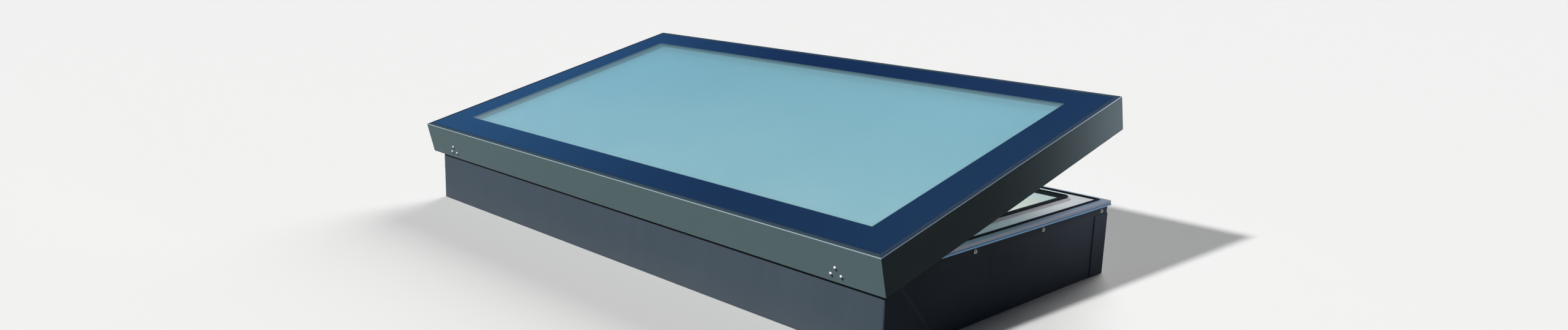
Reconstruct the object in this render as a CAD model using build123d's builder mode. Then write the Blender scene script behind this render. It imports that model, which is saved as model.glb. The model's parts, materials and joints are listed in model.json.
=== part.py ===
"""Flat-glass roof skylight on an insulated kerb, hinged along one long side and standing open.

Millimetres, +Z up. X runs along the hinge, Y from the hinge side to the opening side. The origin is
the middle of the underside of the hinge-side kerb wall. The lid is drawn as if it were shut, on a
plane that is turned open about the hinge axis, so every size of it can be read off the shut skylight.
"""

import os
from math import atan2, cos, degrees, radians

from build123d import *

os.makedirs("parts", exist_ok=True)

# Daylight opening and the angle at which the lid stands
clear_length = 2042
clear_depth = 962
open_angle = 14.5

# Kerb, from the reveal outwards
lining_thickness = 12
insulation_thickness = 68
wall_thickness = 27
kerb_height = 233
membrane_thickness = 3
membrane_overlap = 13
membrane_foot_gap = 1
membrane_corner_radius = 6
lap_thickness = 2.5
lap_from_corner = 92
lap_round_back = 110
lap_below_screws = 4

# Fixed frame and its aluminium edge
frame_height = 20
frame_wall = 2.5
frame_overhang = 7
edge_sheet = 2.5
edge_ledge = 27
edge_face_height = 16.5
edge_lip_height = 5.5
edge_lip_proud = 1.5

# Seals on the frame
outer_gasket_width = 10
outer_gasket_height = 5
outer_gasket_foot = 1.6
outer_bulb_radius = 2.9
lip_from_edge = 90
lip_width = 10
lip_height = 6
lip_corner_radius = 26
seal_strip_height = 10
seal_bulb_width = 8
seal_bulb_height = 13
seal_bulb_radius = 2.5
seal_clearance = 0.3

# Lid skirt and sash
skirt_gap = 19
skirt_sheet = 3
skirt_height = 116
skirt_edge_radius = 4
rim_width = 12
sash_outer_width = 64
sash_inner_height = 13.7
sash_wall = 2
sash_leg = 6
sash_leg_drop = 13
sash_leg_gap = 11
cleat_arm = 110
cleat_play = 0.4

# Glass unit
pane_thickness = 6
pane_corner_radius = 3
pane_gap = 14
sealant_width = 7
sealant_depth = 8
sealant_hollow = 0.6
spacer_width = 12
edge_seal_width = 12
tape_thickness = 4
tape_width = 24
tape_inset = 30

# Hinges
hinge_from_end = 168
hinge_width = 62
hinge_knuckle_radius = 7
hinge_knuckle_gap = 0.5
hinge_wall_gap = 0.5
hinge_drop = 108
hinge_plate = 3
hinge_leaf_height = 58
leaf_corner_radius = 6
hinge_pin_radius = 3.45
hinge_play = 0.05
hinge_pin_head = 5.2
hinge_pin_head_height = 1.6
middle_knuckle_length = 30

# Rivets and screws
rivet_head_radius = 4.6
rivet_head_height = 2.6
rivet_recess_radius = 1.3
rivet_recess_depth = 0.7
rivet_shank_radius = 2.4
rivet_tail_radius = 3.2
rivet_tail_length = 5
rivet_pair_spacing = 37
rivet_pair_drop = 94
rivet_top_drop = 72
screw_pitch_target = 365
screw_from_corner = 50
screw_below_edge = 13.5
screw_head_radius = 4.4
screw_head_height = 3.6
screw_shank_radius = 2.4
screw_length = 26
screw_hole_play = 0.1
washer_radius = 7
washer_thickness = 1.5
hinge_screw_head_radius = 4.2
hinge_screw_head_height = 2
hinge_screw_length = 26
hinge_screw_pitch = 44
hinge_screw_drop = 9
bracket_screw_length = 20
bracket_screw_pitch = 26
lid_screw_length = 8
lid_screw_pitch = 44

# Chain actuator on the opening side
housing_length = 420
housing_width = 38
housing_above_pivot = 12
housing_below_pivot = 34
housing_corner_radius = 5
end_cap_thickness = 10
end_cap_rounding = 2
case_groove_width = 4
case_groove_depth = 1.5
case_groove_pitch = 11
actuator_pivot_height = 200
lid_pin_from_leg = 15
lid_pin_height = 256
lid_pin_radius = 4
lid_pin_play = 0.3
ear_thickness = 4
ear_gap = 1
ear_radius = 12
bracket_plate = 4
bracket_plate_length = 40
bracket_plate_height = 44
bracket_corner_radius = 5
pivot_pin_radius = 4
pivot_pin_head = 7
pivot_pin_head_height = 3
pivot_play = 0.05
pivot_pin_depth = 8
chain_slot_depth = 14
chain_slot_clearance = 0.3
chain_pitch_target = 16
link_plate = 1.6
link_height = 11
link_inner_gap = 7
link_back_clearance = 0.3
link_end_gap = 0.4
link_pin_radius = 1.8
link_pin_proud = 0.5
chain_eye_radius = 7.5
lid_bracket_width = 60
lid_bracket_plate = 3
lid_bracket_height = 25
bracket_ear_below = 2.5
lid_ear_radius = 8
lid_ear_gap = 0.5
gland_radius = 9
gland_nut_height = 6
gland_dome_height = 9
gland_taper = 12
gland_bore = 3.5
gland_from_end = 34
gland_forward = 7

# Outlines in plan, each from the one inside it
kerb_length = clear_length + 2 * (lining_thickness + insulation_thickness + wall_thickness)
kerb_depth = clear_depth + 2 * (lining_thickness + insulation_thickness + wall_thickness)
membrane_length = kerb_length + 2 * membrane_thickness
membrane_depth = kerb_depth + 2 * membrane_thickness
edge_length = membrane_length + 2 * frame_overhang
edge_depth = membrane_depth + 2 * frame_overhang
lid_length = edge_length + 2 * (skirt_gap + skirt_sheet)
lid_depth = edge_depth + 2 * (skirt_gap + skirt_sheet)
pane_length = lid_length - 2 * (rim_width + sealant_width)
pane_depth = lid_depth - 2 * (rim_width + sealant_width)
middle_y = kerb_depth / 2 - wall_thickness / 2

# Heights, from the base up
ledge_z = kerb_height + frame_height
membrane_top = kerb_height + membrane_overlap
screw_z = ledge_z - edge_face_height - screw_below_edge
sash_outer_z = ledge_z + outer_gasket_height + seal_clearance
sash_inner_z = ledge_z + seal_bulb_height + seal_clearance
sash_top = sash_inner_z + sash_inner_height
glass_bottom = sash_top + tape_thickness
cavity_bottom = glass_bottom + pane_thickness
cavity_top = cavity_bottom + pane_gap
lid_top = cavity_top + pane_thickness
skirt_bottom = lid_top - skirt_height

# Distances in from the edge profile's outer face
timber_inset = frame_overhang + membrane_thickness
reveal_inset = timber_inset + wall_thickness + insulation_thickness + lining_thickness
sash_width = skirt_gap + reveal_inset + sash_leg_gap + sash_leg
kerb_face_y = middle_y - membrane_depth / 2
skirt_face_y = middle_y - lid_depth / 2

# Hinge axis, and the shut lid's plane turned open about it
hinge_y = kerb_face_y - hinge_wall_gap - hinge_knuckle_radius
hinge_z = lid_top - hinge_drop
hinge_x = lid_length / 2 - hinge_from_end
hinge_point = Vector(0, hinge_y, hinge_z)
lid_plane = Plane(
    origin=hinge_point - hinge_point.rotate(Axis.X, open_angle),
    x_dir=(1, 0, 0),
    z_dir=Vector(0, 0, 1).rotate(Axis.X, open_angle),
)

# Actuator pivot, and the lean of its chain when the lid stands open
leg_face_y = middle_y + lid_depth / 2 - skirt_sheet - sash_width
pivot_point = Vector(0, leg_face_y - lid_pin_from_leg, actuator_pivot_height)
lid_pin_open = lid_plane.from_local_coords((0, pivot_point.Y, lid_pin_height))
chain_reach = (lid_pin_open - pivot_point).length
chain_lean = degrees(atan2(pivot_point.Y - lid_pin_open.Y, lid_pin_open.Z - pivot_point.Z))
actuator_plane = Plane(
    origin=pivot_point,
    x_dir=(1, 0, 0),
    z_dir=Vector(0, 0, 1).rotate(Axis.X, chain_lean),
)


def sides(base, length, depth):
    """The four sides of a rectangle on base: name, plane (x along, y inwards, z up) and run."""
    layout = (
        ("front", (1, 0, 0), (0, -depth / 2), length),
        ("right", (0, 1, 0), (length / 2, 0), depth),
        ("back", (-1, 0, 0), (0, depth / 2), length),
        ("left", (0, -1, 0), (-length / 2, 0), depth),
    )
    for name, along, (x, y), run in layout:
        origin = base.from_local_coords((x, middle_y + y, 0))
        tip = base.from_local_coords(along)
        yield name, Plane(origin=origin, x_dir=tip - base.origin, z_dir=base.z_dir), run


def mitred_length(side, run, section):
    """One straight length of a frame with both ends mitred, from its section (x inwards, y up)."""
    across = Plane(origin=side.origin, x_dir=side.y_dir, z_dir=side.x_dir)
    start = Plane(origin=side.from_local_coords((-run / 2, 0, 0)), z_dir=side.x_dir - side.y_dir)
    end = Plane(origin=side.from_local_coords((run / 2, 0, 0)), z_dir=-side.x_dir - side.y_dir)
    with BuildPart() as piece:
        with BuildSketch(across):
            add(section)
        extrude(amount=run / 2, both=True)
        split(bisect_by=start, keep=Keep.TOP)
        split(bisect_by=end, keep=Keep.TOP)
    return piece.part


def box_section(inset, thickness, low, high):
    """A plain rectangular section, its outer face inset from the side it is laid along."""
    with BuildSketch() as section:
        with Locations((inset, low)):
            Rectangle(thickness, high - low, align=(Align.MIN, Align.MIN))
    return section.sketch


def flat_ring(base, length, depth, width, low, high, outer_radius=0.0, inner_radius=0.0):
    """A rectangular ring of one height, with square or rounded corners."""
    with BuildPart() as ring:
        with BuildSketch(base.offset(low)):
            with Locations((0, middle_y)):
                if outer_radius:
                    RectangleRounded(length, depth, outer_radius)
                else:
                    Rectangle(length, depth)
                if inner_radius:
                    RectangleRounded(
                        length - 2 * width, depth - 2 * width, inner_radius, mode=Mode.SUBTRACT
                    )
                else:
                    Rectangle(length - 2 * width, depth - 2 * width, mode=Mode.SUBTRACT)
        extrude(amount=high - low)
    return ring.part


def screw_seats(side, run):
    """Where the kerb screws sit on the membrane along one side, each plane facing outwards."""
    screw_run = run - 2 * screw_from_corner
    intervals = round(screw_run / screw_pitch_target)
    for index in range(intervals + 1):
        x = -screw_run / 2 + index * screw_run / intervals
        seat = side.from_local_coords((x, frame_overhang, screw_z))
        yield Plane(origin=seat, x_dir=side.x_dir, z_dir=-side.y_dir)


def drilled(piece, seats, radius, depth):
    """The piece with a round hole behind each seat."""
    with BuildPart() as result:
        add(piece)
        with Locations(*seats):
            Cylinder(radius, depth, align=(Align.CENTER, Align.CENTER, Align.MAX), mode=Mode.SUBTRACT)
    return result.part


def screws_at(seats, head_radius, head_height, length, washer=0.0):
    """Pan-head screws, and their washers if they have any, on the seats."""
    with BuildPart() as screws:
        with Locations(*seats):
            Cylinder(screw_shank_radius, length, align=(Align.CENTER, Align.CENTER, Align.MAX))
            Cylinder(head_radius, washer + head_height, align=(Align.CENTER, Align.CENTER, Align.MIN))
            if washer:
                Cylinder(washer_radius, washer, align=(Align.CENTER, Align.CENTER, Align.MIN))
    return screws.part


hole_radius = screw_shank_radius + screw_hole_play
hole_depth = screw_length + screw_hole_play

# Seats of the two screws in each fixed hinge leaf
hinge_screw_z = ledge_z - edge_face_height - hinge_knuckle_gap - hinge_screw_drop
hinge_seats = [
    Plane(
        origin=(centre_x + spot, kerb_face_y - hinge_plate, hinge_screw_z),
        x_dir=(1, 0, 0),
        z_dir=(0, -1, 0),
    )
    for centre_x in (-hinge_x, hinge_x)
    for spot in (-hinge_screw_pitch / 2, hinge_screw_pitch / 2)
]

# Seats of the two screws in each actuator bracket, on the reveal of the opening side
bracket_face_y = middle_y + clear_depth / 2 - bracket_plate
ear_outer_x = housing_length / 2 + ear_gap + ear_thickness
bracket_screw_x = ear_outer_x + bracket_plate_length / 2
bracket_seats = [
    Plane(
        origin=(hand * bracket_screw_x, bracket_face_y, actuator_pivot_height + spot),
        x_dir=(1, 0, 0),
        z_dir=(0, -1, 0),
    )
    for hand in (-1, 1)
    for spot in (-bracket_screw_pitch / 2, bracket_screw_pitch / 2)
]

# Seats of the three rivets at each hinge, on the front of the skirt
rivet_spots = (
    (-rivet_pair_spacing / 2, lid_top - rivet_pair_drop),
    (rivet_pair_spacing / 2, lid_top - rivet_pair_drop),
    (0, lid_top - rivet_top_drop),
)
rivet_seats = {
    hand: [
        Plane(
            origin=lid_plane.from_local_coords((centre_x + x, skirt_face_y, z)),
            x_dir=lid_plane.x_dir,
            z_dir=-lid_plane.y_dir,
        )
        for x, z in rivet_spots
    ]
    for hand, centre_x in (("left", -hinge_x), ("right", hinge_x))
}
rivet_hole_radius = rivet_shank_radius + screw_hole_play

# Seats of the two screws that hold the lid bracket to the sash leg
lid_screw_z = sash_inner_z - sash_leg_drop + lid_bracket_height / 2
lid_screw_seats = [
    Plane(
        origin=lid_plane.from_local_coords((spot, leg_face_y - lid_bracket_plate, lid_screw_z)),
        x_dir=lid_plane.x_dir,
        z_dir=-lid_plane.y_dir,
    )
    for spot in (-lid_screw_pitch / 2, lid_screw_pitch / 2)
]

# Kerb: an outer timber wall, an insulation board and a painted lining board on each side
edge_sides = list(sides(Plane.XY, edge_length, edge_depth))
kerb_layers = (
    ("kerb_wall", 0, wall_thickness),
    ("kerb_insulation", wall_thickness, insulation_thickness),
    ("reveal_lining", wall_thickness + insulation_thickness, lining_thickness),
)
for layer_name, layer_inset, layer_thickness in kerb_layers:
    layer_section = box_section(layer_inset, layer_thickness, 0, kerb_height)
    for side_name, side, run in sides(Plane.XY, kerb_length, kerb_depth):
        board = mitred_length(side, run, layer_section)
        if layer_name == "kerb_wall":
            edge_side = dict((name, (plane, span)) for name, plane, span in edge_sides)[side_name]
            board = drilled(board, screw_seats(*edge_side), hole_radius, hole_depth)
        if layer_name == "kerb_wall" and side_name == "front":
            board = drilled(board, hinge_seats, hole_radius, hinge_screw_length + screw_hole_play)
        if layer_name != "kerb_wall" and side_name == "back":
            board = drilled(board, bracket_seats, hole_radius, bracket_screw_length + screw_hole_play)
        board.label = f"{layer_name}_{side_name}"
        export_step(board, f"parts/{board.label}.step")

# Roofing membrane, one sheet dressed up the kerb and over the foot of the frame
with BuildPart() as kerb_membrane:
    with BuildSketch(Plane.XY.offset(membrane_foot_gap)):
        with Locations((0, middle_y)):
            RectangleRounded(membrane_length, membrane_depth, membrane_corner_radius)
            Rectangle(kerb_length, kerb_depth, mode=Mode.SUBTRACT)
    extrude(amount=membrane_top - membrane_foot_gap)
    for side_name, side, run in edge_sides:
        with Locations(*screw_seats(side, run)):
            Cylinder(hole_radius, 2 * membrane_thickness, mode=Mode.SUBTRACT)
    with Locations(*hinge_seats):
        Cylinder(hole_radius, 2 * hinge_screw_length, mode=Mode.SUBTRACT)
kerb_membrane.part.label = "kerb_membrane"
export_step(kerb_membrane.part, "parts/kerb_membrane.step")

# Lap of a second sheet, bonded over the first round the opening-side right corner
lap_top = screw_z - washer_radius - lap_below_screws
lap_corner = Vector(membrane_length / 2, middle_y + membrane_depth / 2)
with BuildPart() as membrane_lap:
    with BuildSketch(Plane.XY.offset(membrane_foot_gap)):
        with Locations((0, middle_y)):
            RectangleRounded(
                membrane_length + 2 * lap_thickness,
                membrane_depth + 2 * lap_thickness,
                membrane_corner_radius + lap_thickness,
            )
            RectangleRounded(
                membrane_length, membrane_depth, membrane_corner_radius, mode=Mode.SUBTRACT
            )
        with Locations((lap_corner.X + lap_thickness, lap_corner.Y + lap_thickness)):
            Rectangle(
                lap_round_back, lap_from_corner, align=(Align.MAX, Align.MAX), mode=Mode.INTERSECT
            )
    extrude(amount=lap_top - membrane_foot_gap)
membrane_lap.part.label = "membrane_lap"
export_step(membrane_lap.part, "parts/membrane_lap.step")

# Fixed frame: a chambered plastic profile on top of the kerb, rebated for the edge profile
frame_chamber_low = kerb_height + frame_wall
frame_chamber_high = ledge_z - frame_wall
frame_bay = (reveal_inset - edge_ledge - 4 * frame_wall) / 3
with BuildSketch() as frame_section:
    with BuildLine():
        Polyline(
            (timber_inset, kerb_height),
            (timber_inset, ledge_z - edge_sheet),
            (edge_ledge, ledge_z - edge_sheet),
            (edge_ledge, ledge_z),
            (reveal_inset, ledge_z),
            (reveal_inset, kerb_height),
            close=True,
        )
    make_face()
    for bay in range(3):
        with Locations((edge_ledge + frame_wall + bay * (frame_bay + frame_wall), frame_chamber_low)):
            Rectangle(
                frame_bay,
                frame_chamber_high - frame_chamber_low,
                align=(Align.MIN, Align.MIN),
                mode=Mode.SUBTRACT,
            )
for side_name, side, run in edge_sides:
    frame_length = mitred_length(side, run, frame_section.sketch)
    frame_length.label = f"frame_{side_name}"
    export_step(frame_length, f"parts/{frame_length.label}.step")

# Aluminium edge profile: a ledge, a short face and a drip lip that stands a little proud
edge_bottom = ledge_z - edge_face_height
with BuildSketch() as edge_section:
    with BuildLine():
        Polyline(
            (0, edge_bottom),
            (0, edge_bottom + edge_lip_height),
            (edge_lip_proud, edge_bottom + edge_lip_height + edge_lip_proud),
            (edge_lip_proud, ledge_z),
            (edge_ledge, ledge_z),
            (edge_ledge, ledge_z - edge_sheet),
            (edge_lip_proud + edge_sheet, ledge_z - edge_sheet),
            (edge_lip_proud + edge_sheet, edge_bottom),
            close=True,
        )
    make_face()
for side_name, side, run in edge_sides:
    edge = mitred_length(side, run, edge_section.sketch)
    edge.label = f"edge_profile_{side_name}"
    export_step(edge, f"parts/{edge.label}.step")

# Outer gasket, a rubber ring beside the ledge: a flat foot with a bulb along its middle
with BuildSketch() as outer_gasket_section:
    with Locations((edge_ledge, ledge_z)):
        Rectangle(outer_gasket_width, outer_gasket_foot, align=(Align.MIN, Align.MIN))
    with Locations((edge_ledge + outer_gasket_width / 2, ledge_z)):
        with Locations((0, outer_gasket_height - outer_bulb_radius)):
            Circle(outer_bulb_radius)
        Rectangle(
            outer_gasket_width, outer_bulb_radius, align=(Align.CENTER, Align.MAX), mode=Mode.SUBTRACT
        )
with BuildPart() as outer_gasket:
    for side_name, side, run in edge_sides:
        add(mitred_length(side, run, outer_gasket_section.sketch))
outer_gasket.part.label = "outer_gasket"
export_step(outer_gasket.part, "parts/outer_gasket.step")

# Raised inner lip, one length bent round the corners, with its outer top edge rounded
lip_length = edge_length - 2 * lip_from_edge
lip_depth = edge_depth - 2 * lip_from_edge
with BuildPart() as inner_lip:
    with BuildSketch(Plane.XY.offset(ledge_z)):
        with Locations((0, middle_y)):
            RectangleRounded(lip_length, lip_depth, lip_corner_radius)
            RectangleRounded(
                lip_length - 2 * lip_width,
                lip_depth - 2 * lip_width,
                lip_corner_radius - lip_width,
                mode=Mode.SUBTRACT,
            )
    extrude(amount=lip_height)
    outer_loop = inner_lip.faces().sort_by(Axis.Z)[-1].outer_wire().edges()
    fillet(outer_loop, radius=lip_height / 2)
inner_lip.part.label = "inner_lip"
export_step(inner_lip.part, "parts/inner_lip.step")

# Inner gasket: a flat strip to the reveal edge with a bulb that meets the sash
strip_width = reveal_inset - lip_from_edge - lip_width
strip_length = lip_length - 2 * lip_width
strip_depth = lip_depth - 2 * lip_width
strip_radius = lip_corner_radius - lip_width
with BuildPart() as inner_gasket:
    with BuildSketch(Plane.XY.offset(ledge_z)):
        with Locations((0, middle_y)):
            RectangleRounded(strip_length, strip_depth, strip_radius)
            Rectangle(
                strip_length - 2 * strip_width, strip_depth - 2 * strip_width, mode=Mode.SUBTRACT
            )
    extrude(amount=seal_strip_height)
    with BuildSketch(Plane.XY.offset(ledge_z + seal_strip_height)):
        with Locations((0, middle_y)):
            RectangleRounded(strip_length, strip_depth, strip_radius)
            RectangleRounded(
                strip_length - 2 * seal_bulb_width,
                strip_depth - 2 * seal_bulb_width,
                strip_radius - seal_bulb_width,
                mode=Mode.SUBTRACT,
            )
    extrude(amount=seal_bulb_height - seal_strip_height)
    fillet(inner_gasket.faces().sort_by(Axis.Z)[-1].edges(), radius=seal_bulb_radius)
inner_gasket.part.label = "inner_gasket"
export_step(inner_gasket.part, "parts/inner_gasket.step")

# Screws with washers under the edge profile, evenly spaced along all four sides
kerb_seats = [seat for name, side, run in edge_sides for seat in screw_seats(side, run)]
kerb_screws = screws_at(kerb_seats, screw_head_radius, screw_head_height, screw_length, washer_thickness)
kerb_screws.label = "kerb_screws"
export_step(kerb_screws, "parts/kerb_screws.step")

# Lid skirt: folded aluminium sheet with a narrow rim on top, mitred at the corners
with BuildSketch() as skirt_section:
    with BuildLine():
        Polyline(
            (0, skirt_bottom),
            (0, lid_top),
            (rim_width, lid_top),
            (rim_width, lid_top - skirt_sheet),
            (skirt_sheet, lid_top - skirt_sheet),
            (skirt_sheet, skirt_bottom),
            close=True,
        )
    make_face()
    top_corner = skirt_section.vertices().sort_by_distance((0, lid_top))[0]
    fillet(top_corner, radius=skirt_edge_radius)
    inside_corner = skirt_section.vertices().sort_by_distance((skirt_sheet, lid_top - skirt_sheet))[0]
    fillet(inside_corner, radius=skirt_edge_radius - skirt_sheet)
for side_name, side, run in sides(lid_plane, lid_length, lid_depth):
    skirt = mitred_length(side, run, skirt_section.sketch)
    if side_name == "front":
        seats = rivet_seats["left"] + rivet_seats["right"]
        skirt = drilled(skirt, seats, rivet_hole_radius, 2 * skirt_sheet)
    skirt.label = f"skirt_{side_name}"
    export_step(skirt, f"parts/{skirt.label}.step")

# Sash: a two-chamber aluminium profile that straddles the seals, with a leg inside the reveal
leg_outer = sash_width - sash_leg
with BuildSketch() as sash_section:
    with BuildLine():
        Polyline(
            (0, sash_outer_z),
            (0, sash_top),
            (sash_width, sash_top),
            (sash_width, sash_inner_z - sash_leg_drop),
            (leg_outer, sash_inner_z - sash_leg_drop),
            (leg_outer, sash_inner_z),
            (sash_outer_width, sash_inner_z),
            (sash_outer_width, sash_outer_z),
            close=True,
        )
    make_face()
    with Locations((sash_wall, sash_outer_z + sash_wall)):
        Rectangle(
            sash_outer_width - 2 * sash_wall,
            sash_top - sash_outer_z - 2 * sash_wall,
            align=(Align.MIN, Align.MIN),
            mode=Mode.SUBTRACT,
        )
    with Locations((sash_outer_width, sash_inner_z + sash_wall)):
        Rectangle(
            leg_outer - sash_outer_width - sash_wall,
            sash_top - sash_inner_z - 2 * sash_wall,
            align=(Align.MIN, Align.MIN),
            mode=Mode.SUBTRACT,
        )
sash_length = lid_length - 2 * skirt_sheet
sash_depth = lid_depth - 2 * skirt_sheet
for side_name, side, run in sides(lid_plane, sash_length, sash_depth):
    sash = mitred_length(side, run, sash_section.sketch)
    if side_name == "back":
        sash = drilled(sash, lid_screw_seats, hole_radius, lid_screw_length + screw_hole_play)
    sash.label = f"sash_{side_name}"
    export_step(sash, f"parts/{sash.label}.step")

# Corner cleats: an angle inside the outer chamber of the sash at each mitre
cleat_inset = sash_wall + cleat_play
cleat_width = sash_outer_width - 2 * sash_wall - 2 * cleat_play
cleat_low = sash_outer_z + sash_wall + cleat_play
cleat_high = sash_top - sash_wall - cleat_play
with BuildPart() as sash_cleats:
    with BuildSketch(lid_plane.offset(cleat_low)):
        with Locations((0, middle_y)):
            Rectangle(sash_length - 2 * cleat_inset, sash_depth - 2 * cleat_inset)
            Rectangle(
                sash_length - 2 * (cleat_inset + cleat_width),
                sash_depth - 2 * (cleat_inset + cleat_width),
                mode=Mode.SUBTRACT,
            )
            Rectangle(sash_length - 2 * (cleat_inset + cleat_arm), sash_depth, mode=Mode.SUBTRACT)
            Rectangle(sash_length, sash_depth - 2 * (cleat_inset + cleat_arm), mode=Mode.SUBTRACT)
    extrude(amount=cleat_high - cleat_low)
sash_cleats.part.label = "sash_cleats"
export_step(sash_cleats.part, "parts/sash_cleats.step")

# Glass unit: two panes, the spacer between them and the seal that closes its edge
for pane_name, pane_low in (("inner_pane", glass_bottom), ("outer_pane", cavity_top)):
    with BuildPart() as pane:
        with BuildSketch(lid_plane.offset(pane_low)):
            with Locations((0, middle_y)):
                RectangleRounded(pane_length, pane_depth, pane_corner_radius)
        extrude(amount=pane_thickness)
    pane.part.label = pane_name
    export_step(pane.part, f"parts/{pane_name}.step")

edge_seal = flat_ring(
    lid_plane, pane_length, pane_depth, edge_seal_width, cavity_bottom, cavity_top, pane_corner_radius
)
edge_seal.label = "glass_edge_seal"
export_step(edge_seal, "parts/glass_edge_seal.step")

glass_spacer = flat_ring(
    lid_plane,
    pane_length - 2 * edge_seal_width,
    pane_depth - 2 * edge_seal_width,
    spacer_width,
    cavity_bottom,
    cavity_top,
)
glass_spacer.label = "glass_spacer"
export_step(glass_spacer, "parts/glass_spacer.step")

# Glazing tape under the unit and the weather joint between the glass and the rim
glazing_tape = flat_ring(
    lid_plane,
    sash_length - 2 * tape_inset,
    sash_depth - 2 * tape_inset,
    tape_width,
    sash_top,
    glass_bottom,
)
glazing_tape.label = "glazing_tape"
export_step(glazing_tape, "parts/glazing_tape.step")

with BuildPart() as weather_joint:
    with BuildSketch(lid_plane.offset(lid_top - sealant_depth)):
        with Locations((0, middle_y)):
            Rectangle(lid_length - 2 * rim_width, lid_depth - 2 * rim_width)
            RectangleRounded(pane_length, pane_depth, pane_corner_radius, mode=Mode.SUBTRACT)
    extrude(amount=sealant_depth - sealant_hollow)
weather_joint.part.label = "weather_joint"
export_step(weather_joint.part, "parts/weather_joint.step")


def across_hinge(base, x):
    """The plane square to the hinge axis at x, with Y and Z of base as its own x and y."""
    return Plane(origin=base.from_local_coords((x, 0, 0)), x_dir=base.y_dir, z_dir=base.x_dir)


lid_across = Axis(lid_plane.origin, lid_plane.y_dir)
lid_upwards = Axis(lid_plane.origin, lid_plane.z_dir)

# Hinges: a fixed leaf on the kerb under the edge profile and an angled leaf riveted to the skirt
leaf_top = ledge_z - edge_face_height - hinge_knuckle_gap
leaf_bottom = hinge_z - hinge_knuckle_radius
rivet_face_y = skirt_face_y + skirt_sheet
bore_radius = hinge_pin_radius + hinge_play
for hand, centre_x in (("left", -hinge_x), ("right", hinge_x)):
    with BuildPart() as fixed_leaf:
        with BuildSketch(across_hinge(Plane.XY, centre_x)):
            with Locations((kerb_face_y - hinge_plate, hinge_z)):
                Rectangle(hinge_plate, leaf_top - hinge_z, align=(Align.MIN, Align.MIN))
            with Locations((hinge_y, hinge_z)):
                Circle(hinge_knuckle_radius)
        extrude(amount=hinge_width / 2, both=True)
        with BuildSketch(across_hinge(Plane.XY, centre_x)):
            with Locations((hinge_y, hinge_z)):
                Circle(hinge_knuckle_radius + 2 * hinge_knuckle_gap)
        extrude(amount=middle_knuckle_length / 2 + hinge_knuckle_gap, both=True, mode=Mode.SUBTRACT)
        with BuildSketch(across_hinge(Plane.XY, centre_x)):
            with Locations((hinge_y, hinge_z)):
                Circle(bore_radius)
        extrude(amount=hinge_width, both=True, mode=Mode.SUBTRACT)
        fillet(fixed_leaf.edges().filter_by(Axis.Y).group_by(Axis.Z)[-1], radius=leaf_corner_radius)
        with Locations(*hinge_seats):
            Cylinder(hole_radius, 3 * hinge_plate, mode=Mode.SUBTRACT)
    fixed_leaf.part.label = f"hinge_fixed_leaf_{hand}"
    export_step(fixed_leaf.part, f"parts/hinge_fixed_leaf_{hand}.step")

    with BuildPart() as moving_leaf:
        with BuildSketch(across_hinge(lid_plane, centre_x)):
            with Locations((rivet_face_y, leaf_bottom)):
                Rectangle(hinge_plate, hinge_leaf_height, align=(Align.MIN, Align.MIN))
        extrude(amount=hinge_width / 2, both=True)
        with BuildSketch(across_hinge(lid_plane, centre_x)):
            with Locations((rivet_face_y, leaf_bottom)):
                Rectangle(hinge_y - rivet_face_y, hinge_plate, align=(Align.MIN, Align.MIN))
            with Locations((hinge_y, hinge_z)):
                Circle(hinge_knuckle_radius)
                Circle(bore_radius, mode=Mode.SUBTRACT)
        extrude(amount=middle_knuckle_length / 2, both=True)
        leaf_corners = moving_leaf.edges().filter_by(lid_across).group_by(lid_upwards)[-1]
        fillet(leaf_corners, radius=leaf_corner_radius)
        with Locations(*rivet_seats[hand]):
            Cylinder(rivet_hole_radius, 4 * skirt_sheet, mode=Mode.SUBTRACT)
    moving_leaf.part.label = f"hinge_moving_leaf_{hand}"
    export_step(moving_leaf.part, f"parts/hinge_moving_leaf_{hand}.step")

hinge_screws = screws_at(
    hinge_seats, hinge_screw_head_radius, hinge_screw_head_height, hinge_screw_length
)
hinge_screws.label = "hinge_screws"
export_step(hinge_screws, "parts/hinge_screws.step")

# Hinge pins with a flat head at each end
with BuildPart() as hinge_pins:
    for centre_x in (-hinge_x, hinge_x):
        with BuildSketch(across_hinge(Plane.XY, centre_x)):
            with Locations((hinge_y, hinge_z)):
                Circle(hinge_pin_radius)
        extrude(amount=hinge_width / 2 + hinge_pin_head_height, both=True)
        for direction in (-1, 1):
            head_x = centre_x + direction * (hinge_width / 2 + hinge_play)
            with BuildSketch(across_hinge(Plane.XY, head_x)):
                with Locations((hinge_y, hinge_z)):
                    Circle(hinge_pin_head)
            extrude(amount=direction * hinge_pin_head_height)
hinge_pins.part.label = "hinge_pins"
export_step(hinge_pins.part, "parts/hinge_pins.step")

# Blind rivets with domed heads, three through the skirt and the moving leaf at each hinge
head_sphere = (rivet_head_radius**2 + rivet_head_height**2) / (2 * rivet_head_height)
with BuildPart() as rivet:
    with BuildSketch(Plane.XZ):
        with BuildLine():
            RadiusArc((rivet_head_radius, 0), (0, rivet_head_height), -head_sphere)
            Polyline((0, rivet_head_height), (0, 0), (rivet_head_radius, 0))
        make_face()
    revolve(axis=Axis.Z)
    with Locations((0, 0, rivet_head_height)):
        Cylinder(rivet_recess_radius, 2 * rivet_recess_depth, mode=Mode.SUBTRACT)
    Cylinder(
        rivet_shank_radius,
        skirt_sheet + hinge_plate,
        align=(Align.CENTER, Align.CENTER, Align.MAX),
    )
    with Locations((0, 0, -skirt_sheet - hinge_plate)):
        Cylinder(
            rivet_tail_radius, rivet_tail_length, align=(Align.CENTER, Align.CENTER, Align.MAX)
        )
with BuildPart() as rivets:
    with Locations(*rivet_seats["left"], *rivet_seats["right"]):
        add(rivet.part)
rivets.part.label = "rivets"
export_step(rivets.part, "parts/rivets.step")


def across_actuator(x):
    """The plane square to the actuator's pivot at x, with its depth and height as x and y."""
    origin = actuator_plane.from_local_coords((x, 0, 0))
    return Plane(origin=origin, x_dir=actuator_plane.y_dir, z_dir=actuator_plane.x_dir)


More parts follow.
